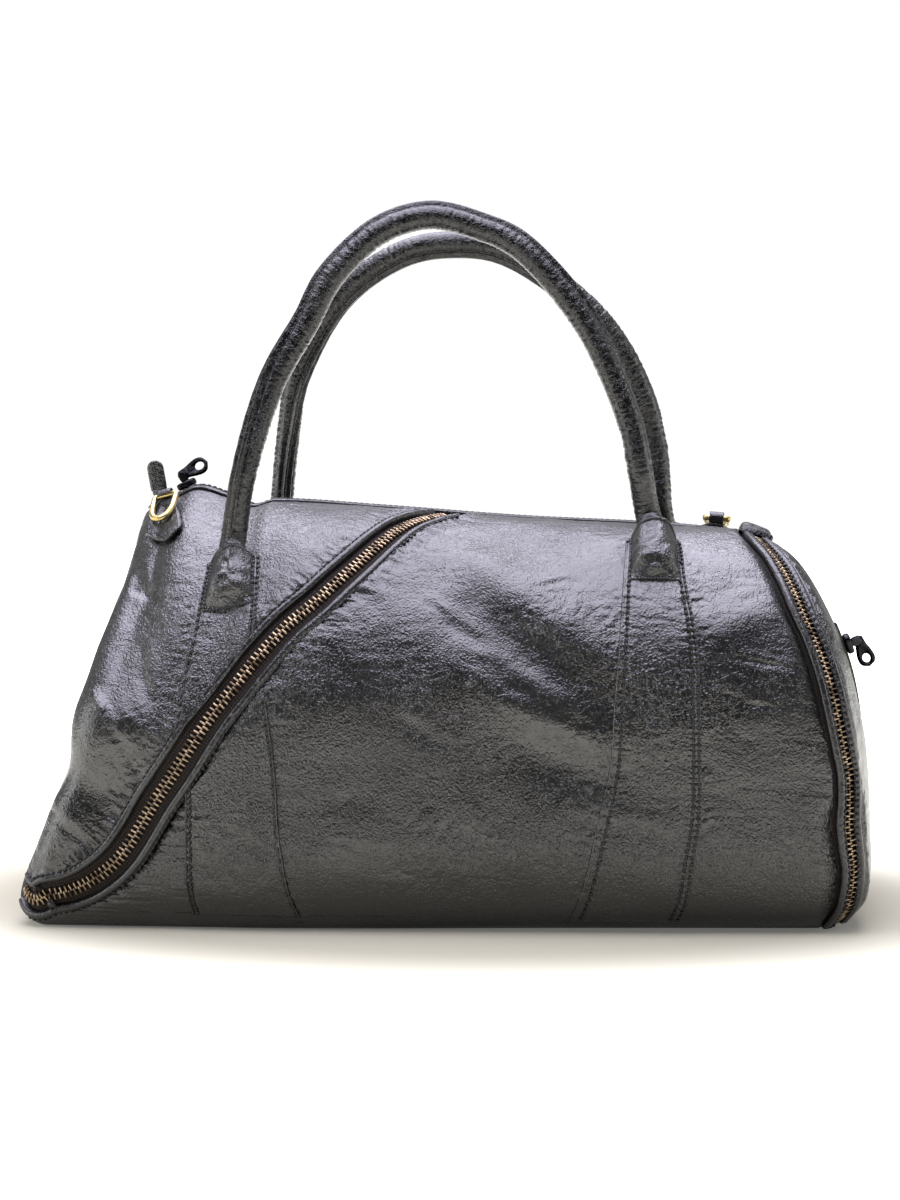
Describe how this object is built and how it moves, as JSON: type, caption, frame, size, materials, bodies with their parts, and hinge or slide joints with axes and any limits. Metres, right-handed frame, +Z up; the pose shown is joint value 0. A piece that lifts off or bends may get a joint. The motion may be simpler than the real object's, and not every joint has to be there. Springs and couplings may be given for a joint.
{
  "type": "boston bag",
  "caption": "Slouching leather boston bag with rounded ends, a top zip, a diagonal front zip, stitched handle bands and standing rolled handles.",
  "frame": {"origin": "on the underside, below the middle of the bag's length and depth", "axes": "+X along the bag to the viewer's right, the front with the diagonal zip faces -Y, +Z up"},
  "size_m": [0.4843, 0.2434, 0.4059],
  "materials": {
    "leather": "soft pebbled black leather with a low sheen",
    "dark_leather": "smoother and glossier black leather",
    "zip_tape": "dark brown woven tape",
    "antique_brass": "antiqued, satin",
    "pale_brass": "pale, polished",
    "black_metal": "black nickel, satin"
  },
  "bodies": {
    "bag": {"front_upper_panel": "leather", "front_lower_panel": "leather", "back_panel": "leather", "base_panel": "leather", "left_end_panel": "leather", "right_end_panel": "leather", "main_zip_tape": "zip_tape", "main_zip_teeth": "antique_brass", "diagonal_zip_tape": "zip_tape", "diagonal_zip_teeth": "antique_brass", "end_zip_tape": "zip_tape", "end_zip_teeth": "antique_brass", "pocket_zip_tape": "zip_tape", "front_left_upper_band": "leather", "front_left_lower_band": "leather", "front_right_band": "leather", "back_left_band": "leather", "back_right_band": "leather", "front_handle": "dark_leather", "back_handle": "dark_leather", "left_ring_tab": "dark_leather", "right_ring_tab": "dark_leather", "main_zip_slider": "black_metal", "pocket_zip_slider": "black_metal", "main_zip_end_tab": "dark_leather", "end_zip_tab": "dark_leather"},
    "left_ring": {"left_ring": "pale_brass"},
    "right_ring": {"right_ring": "pale_brass"},
    "main_zip_pull": {"main_zip_pull": "black_metal"},
    "pocket_zip_pull": {"pocket_zip_pull": "black_metal"}
  },
  "joints": [
    {"name": "left_ring_hinge", "type": "hinge", "parent": "bag", "child": "left_ring", "pos_m": [-0.16622, -0.02186, 0.24002], "axis": [-0.9488, 0.1729, -0.2642], "range_deg": [0, 130]},
    {"name": "right_ring_hinge", "type": "hinge", "parent": "bag", "child": "right_ring", "pos_m": [0.15812, 0.01986, 0.22628], "axis": [0.9921, -0.0949, -0.0818], "range_deg": [0, 130]},
    {"name": "main_pull_hinge", "type": "hinge", "parent": "bag", "child": "main_zip_pull", "pos_m": [-0.16074, 0, 0.25184], "axis": [0, -1, -0.0001], "range_deg": [0, 75]},
    {"name": "pocket_pull_hinge", "type": "hinge", "parent": "bag", "child": "pocket_zip_pull", "pos_m": [0.23919, -0.01316, 0.15622], "axis": [0.0512, -0.9802, -0.1914], "range_deg": [0, 150]}
  ]
}
